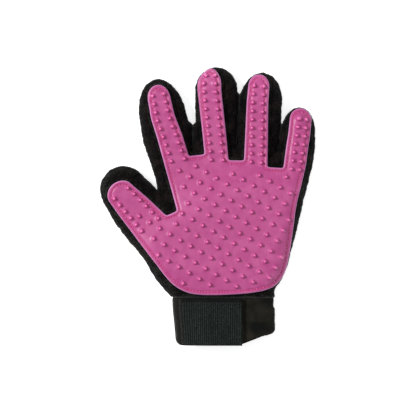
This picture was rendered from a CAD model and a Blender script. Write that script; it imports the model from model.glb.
"""Looks of the nubbed grooming glove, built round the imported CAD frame.

The glove's plan and the height of its layers are the part's own formulas, drawn in millimetres and
evaluated on much finer meshes. Every layer is triangulated once and divided exactly where a joint's
bend starts or ends, so neighbouring pieces share their edge vertices in every pose.
"""
import math
from collections import namedtuple

import bpy
import numpy as np
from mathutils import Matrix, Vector
from mathutils.geometry import delaunay_2d_cdt

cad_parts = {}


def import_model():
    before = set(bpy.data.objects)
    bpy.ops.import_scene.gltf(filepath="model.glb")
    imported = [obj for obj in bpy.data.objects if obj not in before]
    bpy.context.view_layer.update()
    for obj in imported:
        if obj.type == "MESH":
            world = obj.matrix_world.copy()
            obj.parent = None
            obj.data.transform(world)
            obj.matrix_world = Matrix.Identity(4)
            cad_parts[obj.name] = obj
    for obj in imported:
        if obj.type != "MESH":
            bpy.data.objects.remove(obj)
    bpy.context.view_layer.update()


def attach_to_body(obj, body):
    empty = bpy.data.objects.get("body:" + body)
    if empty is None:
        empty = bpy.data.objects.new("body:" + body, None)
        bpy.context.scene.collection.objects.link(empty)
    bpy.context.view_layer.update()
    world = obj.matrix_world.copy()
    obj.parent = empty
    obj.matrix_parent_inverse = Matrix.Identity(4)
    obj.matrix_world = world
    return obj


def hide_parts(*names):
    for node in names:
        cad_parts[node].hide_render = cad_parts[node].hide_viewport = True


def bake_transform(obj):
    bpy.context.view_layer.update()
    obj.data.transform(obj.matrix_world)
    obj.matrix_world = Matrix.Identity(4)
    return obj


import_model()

MM = 0.001
CENTRE = np.array((-0.25, 0.5, 0.0))

# The glove's body, as in the part
SHELL_RADIUS = 14.0
FINGER_RISE = 7.6
PALM_RISE = 10.8
CUFF_RISE = 8.6
CUFF_LIFT = 1.8
FABRIC = 1.2
HALF_GAP = 0.2
PALM_START = (50.0, 8.0)
THUMB_AXIS_START = (36.0, -2.0)
CUFF_BLEND = (-48.0, -78.0)
PAD_FABRIC_MARGIN = 0.2
NUB_ROW = 7.1
PALM_NUB_PITCH = 10.0
PALM_NUB_TURN = math.radians(-30.0)
PALM_NUB_ORIGIN = (-23.9, 30.5)
NUB_EDGE_MARGIN = 4.4
NUB_SPACING_MIN = 7.2
STUB_NUB_ROWS = 3
NUB_ROW_SHIFT = {"thumb": -1.4, "index": -1.9, "middle": -3.2, "ring": -2.4, "little": -1.6}
NUB_COLUMN_SHIFT = {"thumb": 0.2, "index": 0.0, "middle": 0.0, "ring": 0.2, "little": 1.5}
NUB_SIDE_MARGIN = 3.7
WRIST_SEAM = -75.5
CUFF_LEFT = -28.6
CUFF_RIGHT = 55.6
MOUTH = -116.4
MOUTH_RIGHT = -105.5
MOUTH_SLANT_START = 27.0
CUFF_FAR = -170.0
SLEEVE_SINK = 0.9
STRAP_ROOT = -20.0
STRAP_END = 28.8
STRAP_TOP = -76.6
STRAP_BOTTOM = -116.0
LOOP_START = 3.0
HOOK_SPAN = (9.0, 26.5)
STRAP_RAMP = (-17.0, 0.0)
HOOK_MARGIN = 3.0
HOOK_TAPE_UNDER = 3.05

Digit = namedtuple("Digit", "base tilt reach knuckle shoulder half_base half_shoulder "
                            "pad_base pad_shoulder pad_half_base pad_half_shoulder pad_reach pad_cap "
                            "nub_base nub_tip nub_rows nub_rows_right")
DIGITS = {
    "thumb": Digit((-60.3, 0.4), -37.5, 37.0, 14.2, 16.5, 21.9, 19.3,
                   -1.9, -3.4, 14.0, 11.9, 26.6, 9.9, 8.0, 6.6, 3, 3),
    "index": Digit((-34.3, 57.6), -11.4, 50.1, 21.3, 18.7, 19.6, 18.9,
                   2.6, 0.0, 10.6, 9.4, 45.6, 11.2, 5.4, 4.8, 6, 6),
    "middle": Digit((6.5, 60.4), 0.8, 56.6, 21.3, 38.1, 16.3, 16.8,
                    -1.1, -5.8, 9.9, 9.9, 56.1, 14.3, 5.0, 5.0, 8, 8),
    "ring": Digit((41.9, 57.5), 5.0, 55.0, 21.3, 29.9, 17.7, 17.1,
                  -1.2, -3.0, 9.6, 8.8, 53.6, 10.2, 4.3, 4.3, 7, 7),
    "little": Digit((74.5, 50.8), 5.9, 32.6, 14.2, 9.3, 14.9, 14.0,
                    0.4, 0.9, 9.2, 9.0, 32.1, 8.7, 3.5, 3.5, 4, 4),
}
ORDER = ("thumb", "index", "middle", "ring", "little")
LABELS = 1 + 2 * len(ORDER)
PAD_NOTCHES = (((-34.7, -7.3), (-25.9, -3.3)),
               ((-16.2, 42.6), (-2.9, 44.2)),
               ((17.3, 39.2), (30.2, 39.0)),
               ((49.8, 33.4), (63.1, 32.6)))
CROTCHES = ((-42.0, 13.2), (-13.2, 49.0), (24.0, 50.0), (57.6, 47.0))
CROTCH_RADIUS = 0.8
# Where the sides of neighbouring digits stop touching above each crotch
SLOT_ENDS = (None, (-13.0, 67.8), (26.5, 93.7), (61.9, 68.5))
SLOT_HALF = 0.5
HEEL_LEFT = ((-28.6, -84.0), (-29.8, -75.5), (-35.7, -69.5), (-43.7, -59.5), (-49.5, -49.5),
             (-56.0, -39.5), (-64.7, -29.7), (-71.2, -21.5))
INDEX_SIDE = ((-44.8, 28.6), (-42.4, 20.0))
HEEL_RIGHT = ((87.3, 36.0), (83.4, 20.0), (78.0, 0.0), (73.6, -20.0), (68.5, -38.0), (65.5, -50.0),
              (61.4, -60.0), (54.9, -70.0), (55.6, -76.0), (55.6, -84.0))
PAD_RIGHT = ((82.0, 34.8), (78.1, 18.4), (73.9, 1.4), (70.6, -22.2), (68.2, -37.8), (66.1, -48.0),
             (63.0, -57.0), (56.9, -65.0), (48.3, -69.6))
PAD_HEEL = ((32.5, -72.4), (12.0, -73.7), (-6.0, -73.6), (-17.5, -71.6), (-27.8, -66.0),
            (-35.2, -58.6), (-43.4, -47.8), (-52.0, -36.7), (-60.5, -25.6))

# Where each joint's bend starts and ends along its digit
BASE_ZONE = {"thumb": (0.0, 7.1), "index": (-6.0, 7.1), "middle": (-6.0, 7.1),
             "ring": (-6.0, 7.1), "little": (0.0, 7.1)}
SPLIT = 7.1
DIGIT_MARGIN = 3.4

# Outline: its step, the coarser line that distances are taken from, what counts as on it, and how
# near a meshed line's own vertices come to its fixed ones
OUTLINE_STEP = 0.4
COARSE_EVERY = 3
COARSE_STEP = 1.2
ON_OUTLINE = 0.3
FIXED_GAP = 0.45
ON_RIM = 0.02

# Textile patterns; a seam's cord is its radius, how much that varies and its stitch pitch
SIDE_SEAM_CORD = (0.98, 0.13, 1.45)
WRIST_SEAM_CORD = (0.75, 0.12, 1.5)
OVERLOCK_PITCH = 1.05
TWILL_PITCH = 1.7

# Pad details
PAD_UNDER = 0.2
GROOVE_AT = 2.75
NUB_FOOT = 2.15
NUB_PROFILE = ((0.0, 3.05), (0.5, 2.97), (0.9, 2.62), (1.18, 1.95), (1.44, 1.05),
               (1.74, 0.3), (NUB_FOOT, 0.0))
NUB_SIDES = 12
NUB_LATTICE = range(-14, 15)
PAD_STITCH_PITCH = 2.55
PAD_STITCH_SHARE = 0.66
PAD_STITCH_RADIUS = 0.42
PAD_STITCH_BOW = 0.22

# Steps of the meshes: the hand's grid, chains and wrist edge, and the pad's grid and chains
HAND_GRID, HAND_CHAIN, WRIST_POINTS = 3.1, 3.0, 44
PAD_GRID, PAD_CHAIN = 2.2, 0.6

# How the wrist's sides lean, and between which heights
LEAN_LEFT, LEAN_LEFT_MORE, LEAN_LEFT_SPAN = -0.7, 3.0, (76.0, 118.0)
LEAN_RIGHT, LEAN_RIGHT_STEP, LEAN_RIGHT_SPAN = -0.3, 0.5, (83.6, 85.4)

# Sheets of the wrist, millimetres above the fabric
SHEET_LOW = 0.9
BACK_LOW = -0.7
SHEET_MARGIN = 0.3
NO_EDGE = 999.0
STRAP_THICK = 1.3
STRAP_STEP = 0.3
STRAP_RIB_PITCH = 1.8
SHIRRING_PITCH = 2.3
HOOK_SPACING = (1.4, 1.5)
HOOK_BEND = ((0.0, 0.0, 0.0), (0.0, 0.0, -0.35), (0.08, 0.0, -0.6), (0.3, 0.0, -0.72),
             (0.5, 0.0, -0.6))
HOOK_RADII = (0.2, 0.16, 0.14, 0.12, 0.07)

# Stage in metres: the floor, the lights (name, place, size, power) and what the camera takes in
WHITE = (1.0, 1.0, 1.0, 1.0)
FLOOR_HALF = 3.0
FLOOR_TOP = -0.0004
LIGHTS = (("key", (-3.9, 1.55, 3.75), 1.05, 246.0),
          ("fill", (0.9, -0.5, 0.9), 1.2, 2.6),
          ("top", (0.1, 0.1, 1.6), 1.0, 3.6))
VIEW_WIDTH = 0.34944
VIEW_MIDDLE = (0.00025, -0.00134)
VIEW_HEIGHT = 0.014

UP = np.array((0.0, 0.0, 1.0))

LATTICE = np.random.default_rng(11).random((128, 128)) * 2.0 - 1.0


# ---------------------------------------------------------------- plan and heights

def smooth(value, start, end):
    t = np.clip((value - start) / (end - start), 0.0, 1.0)
    return t * t * (3.0 - 2.0 * t)


def noise(x, y, size, shift=0.0):
    """Smooth value noise from -1 to 1 with features about `size` across."""
    x = np.asarray(x, float) / size + 31.7 * shift
    y = np.asarray(y, float) / size + 17.9 * shift
    i = np.floor(x).astype(int)
    j = np.floor(y).astype(int)
    a = smooth(x - i, 0.0, 1.0)
    b = smooth(y - j, 0.0, 1.0)
    i, j, k, m = i % 128, j % 128, (i + 1) % 128, (j + 1) % 128
    low = LATTICE[i, j] * (1 - a) + LATTICE[k, j] * a
    high = LATTICE[i, m] * (1 - a) + LATTICE[k, m] * a
    return low * (1 - b) + high * b


def hump(value, middle, width):
    return np.exp(-((value - middle) / width) ** 2)


def ribbed(place, pitch):
    """Wave from 0 to 1 with one crest every `pitch`."""
    return 0.5 + 0.5 * np.cos(2.0 * math.pi * place / pitch)


def overlocked(place, radius, depth, pitch):
    """Radius along a sewn seam, which its thread pinches at each stitch."""
    return radius + depth * np.cos(2.0 * math.pi * place / pitch)


def lengths(line):
    """Distance along a line at each of its points."""
    return np.concatenate(((0.0,), np.cumsum(np.hypot(*np.diff(line, axis=0).T))))


def looped(line):
    return np.concatenate((line, line[:1]))


def on_digit(digit, u, v):
    angle = math.radians(digit.tilt)
    u, v = np.broadcast_arrays(np.asarray(u, float), np.asarray(v, float))
    return np.stack((digit.base[0] + u * math.cos(angle) + v * math.sin(angle),
                     digit.base[1] - u * math.sin(angle) + v * math.cos(angle)), -1)


def digit_uv(digit, points):
    angle = math.radians(digit.tilt)
    d = points - np.array(digit.base)
    return (d[:, 0] * math.cos(angle) - d[:, 1] * math.sin(angle),
            d[:, 0] * math.sin(angle) + d[:, 1] * math.cos(angle))


def half_width(digit, v):
    v = np.asarray(v, float)
    low = digit.half_base + (digit.half_shoulder - digit.half_base) * v / digit.shoulder
    t = np.clip((v - digit.shoulder) / (digit.reach - digit.shoulder), 0.0, 1.0)
    return np.where(v <= digit.shoulder, low, digit.half_shoulder * np.sqrt(1.0 - t * t))


def pad_edge(digit, v, side):
    v = np.asarray(v, float)
    start = digit.pad_reach - digit.pad_cap
    shift = digit.pad_base
    shift = shift + (digit.pad_shoulder - digit.pad_base) * np.minimum(v / digit.shoulder, 1.0)
    half = digit.pad_half_base
    half = half + (digit.pad_half_shoulder - digit.pad_half_base) * np.minimum(v / start, 1.0)
    t = np.clip((v - start) / digit.pad_cap, 0.0, 1.0)
    half = half * np.sqrt(1.0 - t * t)
    limit = np.maximum(half_width(digit, np.maximum(v, 0.0)) - PAD_FABRIC_MARGIN, 0.0)
    return np.clip(shift + side * half, -limit, limit)


def digit_loop(digit, edge, shoulder, reach):
    straight = np.arange(0.0, shoulder, 1.5)
    cap = shoulder + (reach - shoulder) * np.sin(np.linspace(0.0, 0.5 * math.pi, 22))
    v = np.concatenate((straight, cap))
    left = on_digit(digit, edge(digit, v, -1), v)
    right = on_digit(digit, edge(digit, v, 1), v)[::-1]
    return np.concatenate((left, right[1:]))


def fabric_edge(digit, v, side):
    return side * half_width(digit, v)


def crotch_arc(index):
    start = math.radians(205.0 if index else 160.0)
    angle = start + np.linspace(0.0, math.radians(130.0), 5)
    return np.stack((CROTCHES[index][0] + CROTCH_RADIUS * np.cos(angle),
                     CROTCHES[index][1] + CROTCH_RADIUS * np.sin(angle)), -1)


def curve_through(points, step=1.5):
    """Catmull-Rom curve through a few points, ends included."""
    p = np.array(points, float)
    p = np.concatenate((2 * p[:1] - p[1:2], p, 2 * p[-1:] - p[-2:-1]))
    found = []
    for k in range(1, len(p) - 2):
        count = max(int(np.hypot(*(p[k + 1] - p[k])) / step), 1)
        for t in np.arange(count) / count:
            found.append(0.5 * (2 * p[k] + (p[k + 1] - p[k - 1]) * t
                                + (2 * p[k - 1] - 5 * p[k] + 4 * p[k + 1] - p[k + 2]) * t * t
                                + (3 * p[k] - p[k - 1] - 3 * p[k + 1] + p[k + 2]) * t ** 3))
    found.append(p[-2])
    return np.array(found)


def points_at(line, along, spots):
    """Points of a line at the distances `spots`, where `along` is its own distances."""
    return np.stack((np.interp(spots, along, line[:, 0]), np.interp(spots, along, line[:, 1])), -1)


def resampled(line, step):
    along = lengths(line)
    return points_at(line, along, np.linspace(0.0, along[-1], int(math.ceil(along[-1] / step)) + 1))


def gap_to(points, others):
    """Distance from each point to the nearest of the others."""
    return np.hypot(points[:, None, 0] - others[:, 0], points[:, None, 1] - others[:, 1]).min(1)


def relaxed(line, turns, closed=False):
    line = line.copy()
    for _ in range(turns):
        middle = 0.25 * (np.roll(line, 1, axis=0) + 2.0 * line + np.roll(line, -1, axis=0))
        if not closed:
            middle[0] = line[0]
            middle[-1] = line[-1]
        line = middle
    return line


def glove_outline():
    parts = [[(CUFF_LEFT, CUFF_FAR), (CUFF_LEFT, MOUTH)], curve_through(HEEL_LEFT, 3.0)]
    for k, name in enumerate(ORDER):
        digit = DIGITS[name]
        parts.append(digit_loop(digit, fabric_edge, digit.shoulder, digit.reach))
        if k < len(CROTCHES):
            parts.append(crotch_arc(k))
        if name == "thumb":
            parts.append(INDEX_SIDE[::-1])
    parts += [curve_through(HEEL_RIGHT, 3.0), [(CUFF_RIGHT, MOUTH), (CUFF_RIGHT, CUFF_FAR)]]
    return relaxed(resampled(np.concatenate([np.array(p, float) for p in parts]), OUTLINE_STEP), 22)


def pad_outline():
    parts = []
    for k, name in enumerate(ORDER):
        digit = DIGITS[name]
        parts.append(digit_loop(digit, pad_edge, digit.pad_reach - digit.pad_cap, digit.pad_reach))
        if k < len(PAD_NOTCHES):
            parts.append(np.array(PAD_NOTCHES[k]))
    parts.append(curve_through(PAD_RIGHT + PAD_HEEL, 3.0))
    loop = np.concatenate(parts)
    loop = resampled(looped(loop), 0.5)[:-1]
    return relaxed(loop, 9, True)


def nearest(points, line):
    """Distance, offset from the foot point, segment and place along it, for each plan point."""
    start = line[:-1]
    edge = line[1:] - start
    squared = (edge * edge).sum(1)
    offset = np.zeros_like(points)
    index = np.zeros(len(points), int)
    place = np.zeros(len(points))
    for first in range(0, len(points), 1200):
        chunk = slice(first, first + 1200)
        dx = points[chunk, 0][:, None] - start[:, 0]
        dy = points[chunk, 1][:, None] - start[:, 1]
        t = np.clip((dx * edge[:, 0] + dy * edge[:, 1]) / squared, 0.0, 1.0)
        dx -= edge[:, 0] * t
        dy -= edge[:, 1] * t
        k = (dx * dx + dy * dy).argmin(1)
        row = np.arange(len(k))
        offset[chunk, 0] = dx[row, k]
        offset[chunk, 1] = dy[row, k]
        index[chunk] = k
        place[chunk] = t[row, k]
    return np.hypot(offset[:, 0], offset[:, 1]), offset, index, place


def inside(points, loop):
    hit = np.zeros(len(points), bool)
    x, y = points.T
    for (x1, y1), (x2, y2) in zip(np.roll(loop, 1, axis=0), loop):
        if y1 != y2:
            hit ^= ((y1 > y) != (y2 > y)) & (x < x1 + (y - y1) * (x2 - x1) / (y2 - y1))
    return hit


def slots_closed(line):
    """Outline with the sides of neighbouring digits brought together above each crotch."""
    line = line.copy()
    for crotch, end in zip(CROTCHES, SLOT_ENDS):
        if end is None:
            continue
        start = np.array(crotch)
        run = np.array(end) - start
        length = np.hypot(*run)
        run = run / length
        across = np.array((run[1], -run[0]))
        v = (line - start) @ run
        u = (line - start) @ across
        near = (np.abs(u) < 4.5) & (v > -0.6) & (v < length + 6.0)
        width = SLOT_HALF + 5.0 * smooth(v, length, length + 6.0)
        closed = np.sign(u) * np.minimum(np.abs(u), width)
        share = smooth(v, -0.6, 0.8) * near
        line = line + across * ((closed - u) * share)[:, None]
    return line


def surface_shift(depth, offset):
    """How far outward the point `offset` above the fabric lies from its foot, from the top."""
    start = np.maximum(depth - HALF_GAP, 0.0) / SHELL_RADIUS
    return offset * np.maximum(1.0 - start, 0.0) / (1.0 + offset / SHELL_RADIUS)


OUTLINE = relaxed(slots_closed(glove_outline()), 6)
COARSE = OUTLINE[::COARSE_EVERY]
COARSE_NORMALS = np.stack((np.diff(COARSE[:, 1]), -np.diff(COARSE[:, 0])), -1)
COARSE_NORMALS /= np.hypot(*COARSE_NORMALS.T)[:, None]


def from_outline(points):
    """Depth inside the outline, the inward direction and the place along it, for plan points."""
    depth, offset, index, place = nearest(points, COARSE)
    normal = COARSE_NORMALS[index]
    far = depth > ON_OUTLINE
    inward = np.where(far[:, None], offset / np.maximum(depth, 1e-9)[:, None], normal)
    outside = ~far & ((offset * normal).sum(1) < 0.0)
    return depth, inward, outside, index + place


def seated(points, offset):
    """Feet of points that should be seen at these plan places on the layer `offset` up."""
    depth, inward, _outside, _place = from_outline(points)
    return points + inward * surface_shift(depth, offset)[:, None]


PAD_TOP = 2.6
PAD_SEEN = pad_outline()
PAD_EDGE_TOP = 1.7
PAD_LOOP = relaxed(seated(PAD_SEEN, PAD_EDGE_TOP), 3, True)
PAD_COARSE = PAD_LOOP[::2]

Field = namedtuple("Field", "points depth inward along pad")


def field(points, pad_line=None):
    """Everything about plan points that the surfaces need.

    `depth` is the distance in from the glove's outline and `pad` the distance in from the pad's
    edge, negative outside it.
    """
    pad_line = PAD_COARSE if pad_line is None else pad_line
    depth, inward, outside, place = from_outline(points)
    depth = np.where(outside, 0.0, depth)
    pad = nearest(points, looped(pad_line))[0]
    pad = np.where(inside(points, pad_line), pad, -pad)
    return Field(points, depth, inward, place * COARSE_STEP, pad)


def rise(points):
    palm = smooth(points[:, 1], *PALM_START)
    palm = palm * smooth(-0.643 * points[:, 0] + 0.766 * points[:, 1], *THUMB_AXIS_START)
    body = FINGER_RISE + (PALM_RISE - FINGER_RISE) * palm
    return body + (CUFF_RISE - body) * smooth(points[:, 1], *CUFF_BLEND)


def surface(f, face, offset):
    depth = np.maximum(f.depth - HALF_GAP, 0.0)
    slope = np.clip(1.0 - depth / SHELL_RADIUS, 0.0, 1.0)
    bulge = np.sqrt(1.0 - slope * slope)
    half = rise(f.points)
    lift = CUFF_LIFT * smooth(f.points[:, 1], *CUFF_BLEND)
    z = lift + half + HALF_GAP + face * (HALF_GAP + (half + offset) * bulge)
    xy = f.points - f.inward * (offset * slope)[:, None]
    return np.column_stack((xy, z))


def unrolled(f):
    """Plan coordinates stretched where the side of the glove turns down, for the weave patterns."""
    angle = np.arccos(np.clip(1.0 - f.depth / SHELL_RADIUS, 0.0, 1.0))
    extra = FINGER_RISE * (0.5 * math.pi - angle) * 1.3 - np.maximum(SHELL_RADIUS - f.depth, 0.0)
    return f.points - f.inward * extra[:, None]


def part_of(points):
    """0 for the hand, 1 + 2 k for the base part of digit k, and 2 + 2 k for its tip."""
    best = np.full(len(points), DIGIT_MARGIN)
    label = np.zeros(len(points), int)
    for k, name in enumerate(ORDER):
        digit = DIGITS[name]
        u, v = digit_uv(digit, points)
        over = np.abs(u) - half_width(digit, np.clip(v, 0.0, digit.reach))
        hit = (v > BASE_ZONE[name][0]) & (over < best)
        best[hit] = over[hit]
        label[hit] = np.where(v[hit] > SPLIT, 2 + 2 * k, 1 + 2 * k)
    return label


# ---------------------------------------------------------------- meshes

def world(points):
    return (np.asarray(points, float) - CENTRE) * MM


def new_piece(name, vertices, faces, materials, uv=None, values=None, sharp=None, indices=None):
    """Smooth-shaded mesh object from millimetre coordinates."""
    mesh = bpy.data.meshes.new(name)
    mesh.from_pydata(world(vertices).tolist(), [], faces)
    mesh.polygons.foreach_set("use_smooth", np.ones(len(mesh.polygons), bool))
    for material in materials:
        mesh.materials.append(material)
    if indices is not None:
        mesh.polygons.foreach_set("material_index", np.asarray(indices, np.int32))
    if uv is None:
        uv = np.asarray(vertices)[:, :2]
    corners = np.zeros(len(mesh.loops), np.int32)
    mesh.loops.foreach_get("vertex_index", corners)
    layer = mesh.uv_layers.new(name="plan")
    layer.data.foreach_set("uv", np.asarray(uv, np.float32)[corners].ravel())
    for key, value in (values or {}).items():
        attribute = mesh.attributes.new(key, "FLOAT", "POINT")
        attribute.data.foreach_set("value", np.asarray(value, np.float32))
    if sharp is not None:
        pairs = np.zeros(2 * len(mesh.edges), np.int32)
        mesh.edges.foreach_get("vertices", pairs)
        pairs = pairs.reshape(-1, 2)
        attribute = mesh.attributes.new("sharp_edge", "BOOLEAN", "EDGE")
        attribute.data.foreach_set("value", sharp[pairs[:, 0]] & sharp[pairs[:, 1]])
    mesh.update()
    item = bpy.data.objects.new(name, mesh)
    bpy.context.scene.collection.objects.link(item)
    return item


def slab(triangles, outer, inner, flip, rim):
    """Closed sheet between two copies of the same triangles.

    Returns the used plan vertices, all coordinates, the faces and which vertices bound a sharp rim.
    """
    used = np.unique(triangles)
    remap = np.full(len(outer), -1)
    remap[used] = np.arange(len(used))
    top = remap[triangles]
    count = len(used)
    edges = np.concatenate((top[:, (0, 1)], top[:, (1, 2)], top[:, (2, 0)]))
    keys = edges[:, 0] * count + edges[:, 1]
    border = edges[~np.isin(keys, edges[:, 1] * count + edges[:, 0])]
    walls = np.column_stack((border[:, 1], border[:, 0], border[:, 0] + count, border[:, 1] + count))
    bottom = top[:, ::-1] + count
    if flip:
        top, bottom, walls = top[:, ::-1], bottom[:, ::-1], walls[:, ::-1]
    faces = top.tolist() + bottom.tolist() + walls.tolist()
    sharp = np.zeros(2 * count, bool)
    on_cut = np.unique(border)
    on_cut = on_cut[~rim[used][on_cut]]
    sharp[on_cut] = True
    sharp[on_cut + count] = True
    return used, np.concatenate((outer[used], inner[used])), faces, sharp


def slab_piece(name, triangles, sheets, rim, uv, materials, flip=False, values=None, kinds=None):
    """Piece made of a closed sheet, with values for each plan vertex and a material for each face."""
    used, vertices, polygons, sharp = slab(triangles, *sheets, flip, rim)
    values = {key: np.tile(value[used], 2) for key, value in (values or {}).items()}
    indices = np.zeros(len(polygons), int)
    if kinds is not None:
        indices[:2 * len(kinds)] = np.tile(kinds, 2)
    return new_piece(name, vertices, polygons, materials, np.tile(uv[used], (2, 1)), values, sharp,
                     indices)


def grid_slab(outer, inner):
    """Closed sheet between two grids of points, rows by columns."""
    rows, columns = outer.shape[:2]
    index = np.arange(rows * columns).reshape(rows, columns)
    a, b, c, d = index[:-1, :-1], index[:-1, 1:], index[1:, 1:], index[1:, :-1]
    top = np.stack((a, b, c, d), -1).reshape(-1, 4)
    count = rows * columns
    ring = np.concatenate((index[0], index[1:, -1], index[-1, -2::-1], index[-2:0:-1, 0]))
    nxt = np.roll(ring, -1)
    walls = np.column_stack((nxt, ring, ring + count, nxt + count))
    faces = np.concatenate((top, top[:, ::-1] + count, walls))
    return np.concatenate((outer.reshape(-1, 3), inner.reshape(-1, 3))), faces


def sweep(path, side, up, radius, sides):
    """Closed tube along a path; `side` and `up` are unit vectors at each point."""
    angle = np.arange(sides) * 2.0 * math.pi / sides
    ring = (side[:, None] * np.cos(angle)[:, None] + up[:, None] * np.sin(angle)[:, None])
    radius = np.broadcast_to(radius, (len(path),))
    vertices = (path[:, None] + ring * radius[:, None, None]).reshape(-1, 3)
    index = np.arange(len(path) * sides).reshape(len(path), sides)
    a, b = index[:-1], index[1:]
    quads = np.stack((a, np.roll(a, -1, 1), np.roll(b, -1, 1), b), -1).reshape(-1, 4).tolist()
    return vertices, quads + [index[0][::-1].tolist(), index[-1].tolist()]


def joined(pieces):
    """Several (vertices, faces) as one."""
    vertices, faces, first = [], [], 0
    for points, polygons in pieces:
        vertices.append(points)
        faces += [[first + i for i in polygon] for polygon in polygons]
        first += len(points)
    return np.concatenate(vertices), faces


def bundle(name, parts, material):
    """Many small meshes of one material as one piece."""
    vertices, polygons = joined(parts)
    return new_piece(name, vertices, polygons, [material])


def stitch(start, end, up, radius, bow=0.0):
    """One short stitch of thread: a rounded capsule from start to end, arched by `bow`."""
    place = np.array((0.0, 0.06, 0.25, 0.5, 0.75, 0.94, 1.0))
    size = np.array((0.3, 0.75, 1.0, 1.05, 1.0, 0.75, 0.3))
    run = (end - start) / np.linalg.norm(end - start)
    side = np.cross(run, up)
    side /= np.linalg.norm(side)
    over = np.cross(side, run)
    path = start + (end - start) * place[:, None]
    path = path + over * (bow * np.sin(math.pi * place))[:, None]
    return sweep(path, np.tile(side, (7, 1)), np.tile(over, (7, 1)), radius * size, 6)


def frames(path):
    """Unit side and up vectors along a path that lies mostly flat."""
    run = np.gradient(path, axis=0)
    run /= np.linalg.norm(run, axis=1)[:, None]
    side = np.cross(run, (0.0, 0.0, 1.0))
    side /= np.maximum(np.linalg.norm(side, axis=1), 1e-6)[:, None]
    return side, np.cross(side, run)


# ---------------------------------------------------------------- materials

def colour(red, green, blue):
    """Linear colour from the usual 0 to 255 values."""
    values = np.array((red, green, blue)) / 255.0
    linear = np.where(values > 0.04045, ((values + 0.055) / 1.055) ** 2.4, values / 12.92)
    return (*[float(v) for v in linear], 1.0)


class Look:
    """A Principled material under construction."""

    def __init__(self, name, **sockets):
        self.material = bpy.data.materials.new(name)
        self.material.use_nodes = True
        self.tree = self.material.node_tree
        self.shader = self.tree.nodes["Principled BSDF"]
        for key, value in sockets.items():
            self.shader.inputs[key.replace("_", " ")].default_value = value
        self.plan = self.add("UVMap", uv_map="plan").outputs["UV"]

    def put(self, socket, value):
        if isinstance(value, bpy.types.NodeSocket):
            self.tree.links.new(value, socket)
        else:
            socket.default_value = value

    def add(self, kind, inputs=None, **settings):
        made = self.tree.nodes.new("ShaderNode" + kind)
        for key, value in settings.items():
            setattr(made, key, value)
        for key, value in (inputs or {}).items():
            self.put(made.inputs[key], value)
        return made

    def math(self, operation, first, second=0.0):
        return self.add("Math", {0: first, 1: second}, operation=operation).outputs[0]

    def noise(self, size, detail=2.0, rough=0.5, stretch=None):
        """Noise with features about `size` millimetres across, in the cloth's own plan."""
        place = self.plan
        if stretch:
            place = self.add("VectorMath", {0: place, 1: (*stretch, 1.0)},
                             operation="MULTIPLY").outputs[0]
        inputs = {"Vector": place, "Scale": 1.0 / size, "Detail": detail, "Roughness": rough}
        return self.add("TexNoise", inputs, noise_dimensions="2D").outputs["Fac"]

    def stripes(self, direction, pitch, shift=0.0):
        """Sine wave from -1 to 1 across the cloth, one period every `pitch` millimetres."""
        scale = 2.0 * math.pi / pitch
        flat = (direction[0] * scale, direction[1] * scale, 0.0)
        run = self.add("VectorMath", {0: self.plan, 1: flat}, operation="DOT_PRODUCT")
        return self.math("SINE", self.math("ADD", run.outputs["Value"], shift))

    def ramp(self, factor, low, high, start=0.0, end=1.0):
        fraction = self.add("MapRange", {"Value": factor, "From Min": start, "From Max": end})
        mixed = self.add("Mix", {0: fraction.outputs["Result"], 6: low, 7: high}, data_type="RGBA")
        return mixed.outputs[2]

    def spread(self, factor, low, high, start=0.0, end=1.0):
        made = self.add("MapRange", {"Value": factor, "From Min": start, "From Max": end,
                                     "To Min": low, "To Max": high})
        return made.outputs["Result"]

    def value(self, name):
        return self.add("Attribute", attribute_name=name).outputs["Fac"]

    def bump(self, height, depth_mm, below=None):
        inputs = {"Height": height, "Distance": depth_mm * MM, "Strength": 1.0}
        if below is not None:
            inputs["Normal"] = below
        return self.add("Bump", inputs).outputs["Normal"]

    def finish(self, base, roughness, normal):
        self.put(self.shader.inputs["Base Color"], base)
        self.put(self.shader.inputs["Roughness"], roughness)
        self.put(self.shader.inputs["Normal"], normal)
        return self.material


def silicone_look():
    look = Look("pink_silicone", IOR=1.43, Coat_Weight=0.12, Coat_Roughness=0.35)
    mottle = look.noise(9.0, 3.0, 0.55)
    base = look.ramp(mottle, colour(190, 72, 140), colour(203, 90, 153), 0.32, 0.68)
    base = look.ramp(look.noise(38.0, 2.0), base, colour(190, 72, 138), 0.45, 0.95)
    groove = look.value("groove")
    base = look.ramp(groove, base, colour(176, 52, 116), 0.2, 1.25)
    base = look.ramp(look.value("edge"), base, colour(226, 156, 212), 0.0, 1.0)
    base = look.ramp(look.value("nub"), base, colour(252, 122, 190), 0.3, 1.0)
    rough = look.spread(look.noise(3.0, 3.0), 0.36, 0.5, 0.3, 0.7)
    fine = look.bump(look.noise(0.5, 3.0, 0.6), 0.04)
    return look.finish(base, rough, look.bump(look.noise(11.0, 2.0), 0.22, fine))


def thread_look(name, dark, light):
    look = Look(name, Sheen_Weight=0.08, Sheen_Roughness=0.4)
    base = look.ramp(look.noise(1.6, 2.0), dark, light, 0.3, 0.7)
    ply = look.stripes((0.8, 0.6), 0.42)
    return look.finish(base, look.spread(ply, 0.5, 0.7, -1.0, 1.0), look.bump(ply, 0.06))


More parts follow.
